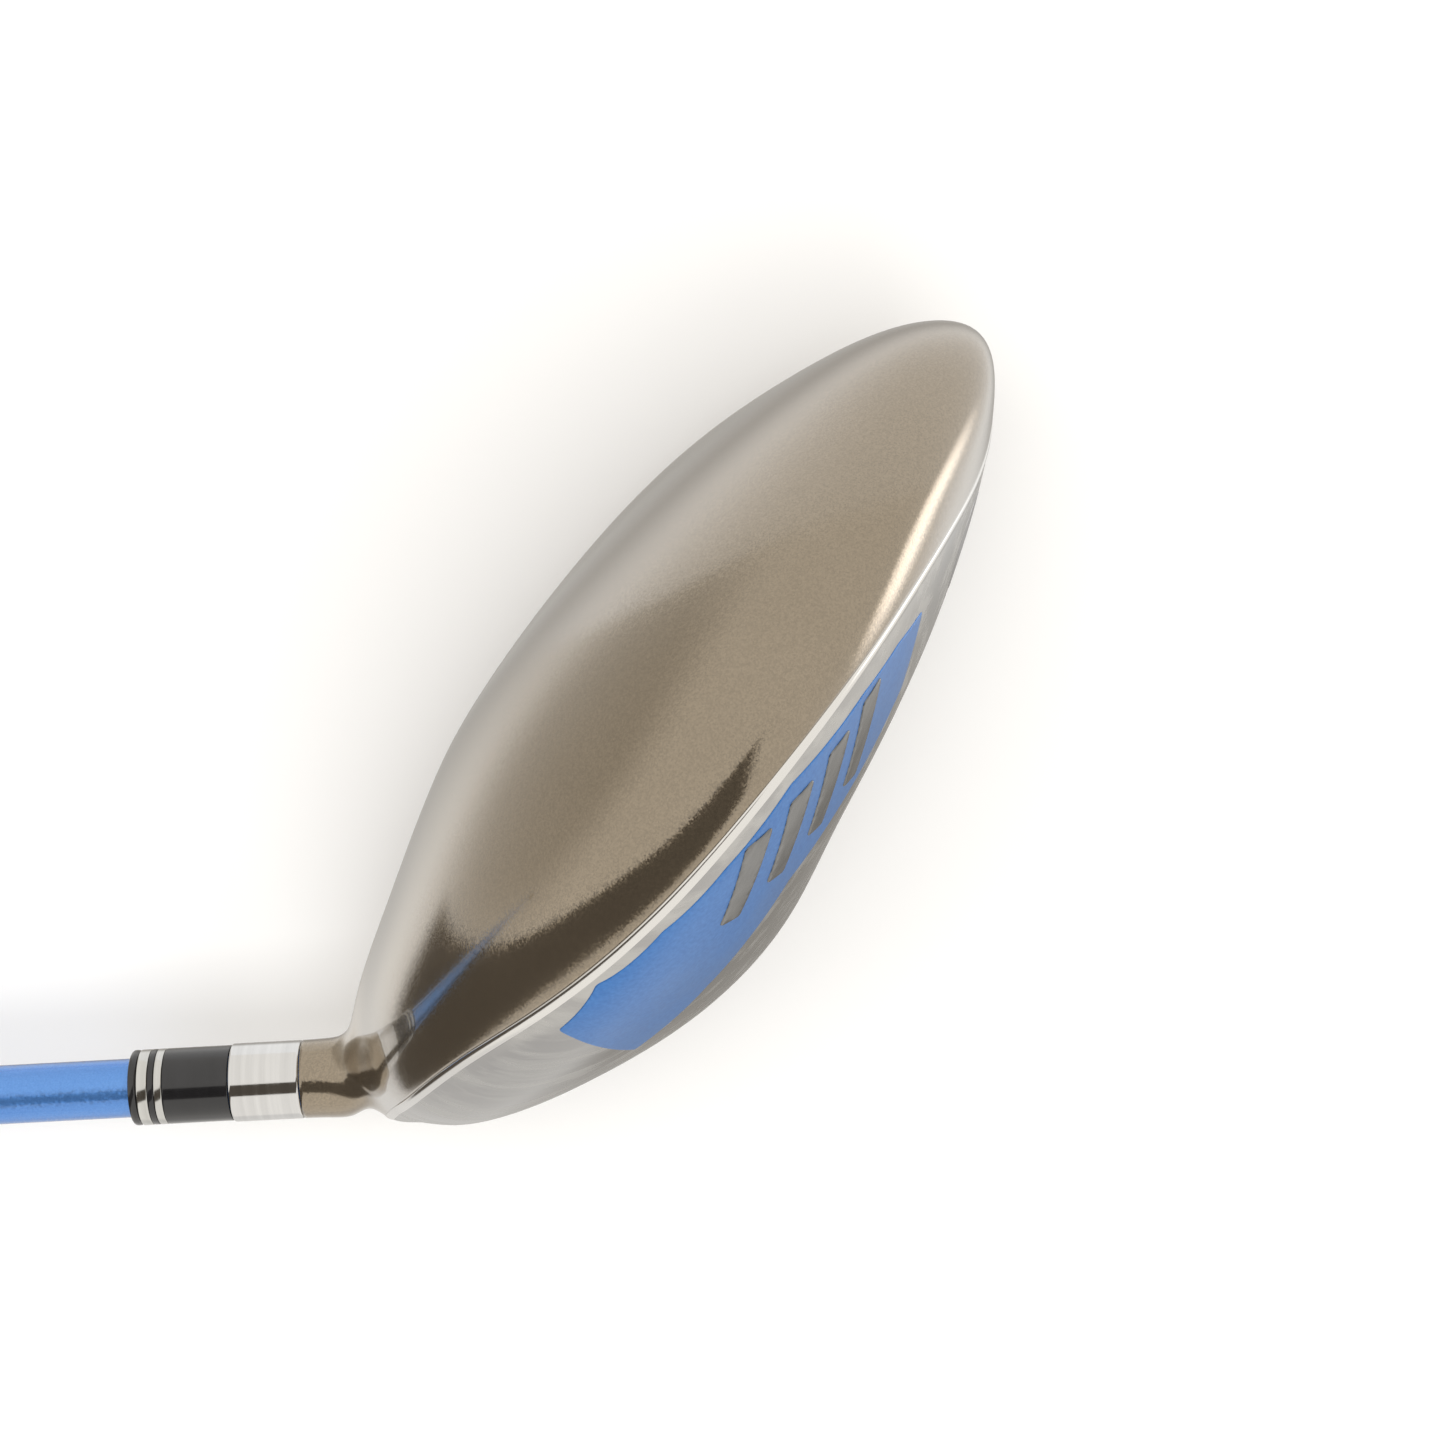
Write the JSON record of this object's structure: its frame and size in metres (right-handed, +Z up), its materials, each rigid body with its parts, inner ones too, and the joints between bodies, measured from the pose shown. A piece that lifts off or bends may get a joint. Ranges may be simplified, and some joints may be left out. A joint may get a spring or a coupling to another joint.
{
  "type": "golf driver",
  "caption": "Golf driver with a hollow metallic champagne head, blue inlaid sole badge, polished collar, banded black ferrule, blue tapered shaft and black rubber grip.",
  "frame": {"origin": "centre of the club's outline at floor level, with the club lying on its face", "axes": "+X along the shaft, from the grip's butt to the head; +Y towards the toe; +Z up from the floor, out of the back of the head"},
  "size_m": [1.1488, 0.1178, 0.0995],
  "materials": {
    "crown_paint": "champagne metallic paint under gloss lacquer, with small chips",
    "face_metal": "bead-blasted titanium with cut score lines",
    "sole_metal": "polished, lightly scuffed",
    "badge_blue": "satin metallic blue",
    "bar_metal": "polished",
    "plug_metal": "satin tungsten alloy",
    "rib_metal": "as cast",
    "hot_melt": "set glue",
    "collar_chrome": "mirror polished",
    "ferrule_black": "gloss",
    "ferrule_silver": "satin",
    "shaft_blue": "metallic blue lacquer on carbon fibre",
    "plug_rubber": "matt",
    "grip_tape": "paper tape",
    "grip_rubber": "matt, moulded pattern"
  },
  "bodies": {
    "root": {"sole_body": "sole_metal", "crown_shell": "crown_paint", "face_plate": "face_metal", "hosel": "crown_paint", "sole_badge": "badge_blue", "sole_bar_1": "bar_metal", "sole_bar_2": "bar_metal", "sole_bar_3": "bar_metal", "sole_bar_4": "bar_metal", "toe_weight_plug": "plug_metal", "sole_rib_front": "rib_metal", "sole_rib_rear": "rib_metal", "hot_melt_pad": "hot_melt", "hosel_collar": "collar_chrome", "ferrule_lower": "ferrule_black", "ferrule_ring_lower": "ferrule_silver", "ferrule_spacer": "ferrule_black", "ferrule_ring_upper": "ferrule_silver", "ferrule_cap": "ferrule_black", "shaft": "shaft_blue", "shaft_tip_plug": "plug_rubber", "grip_tape": "grip_tape", "grip_sleeve": "grip_rubber", "grip_cap": "grip_rubber"}
  },
  "joints": []
}
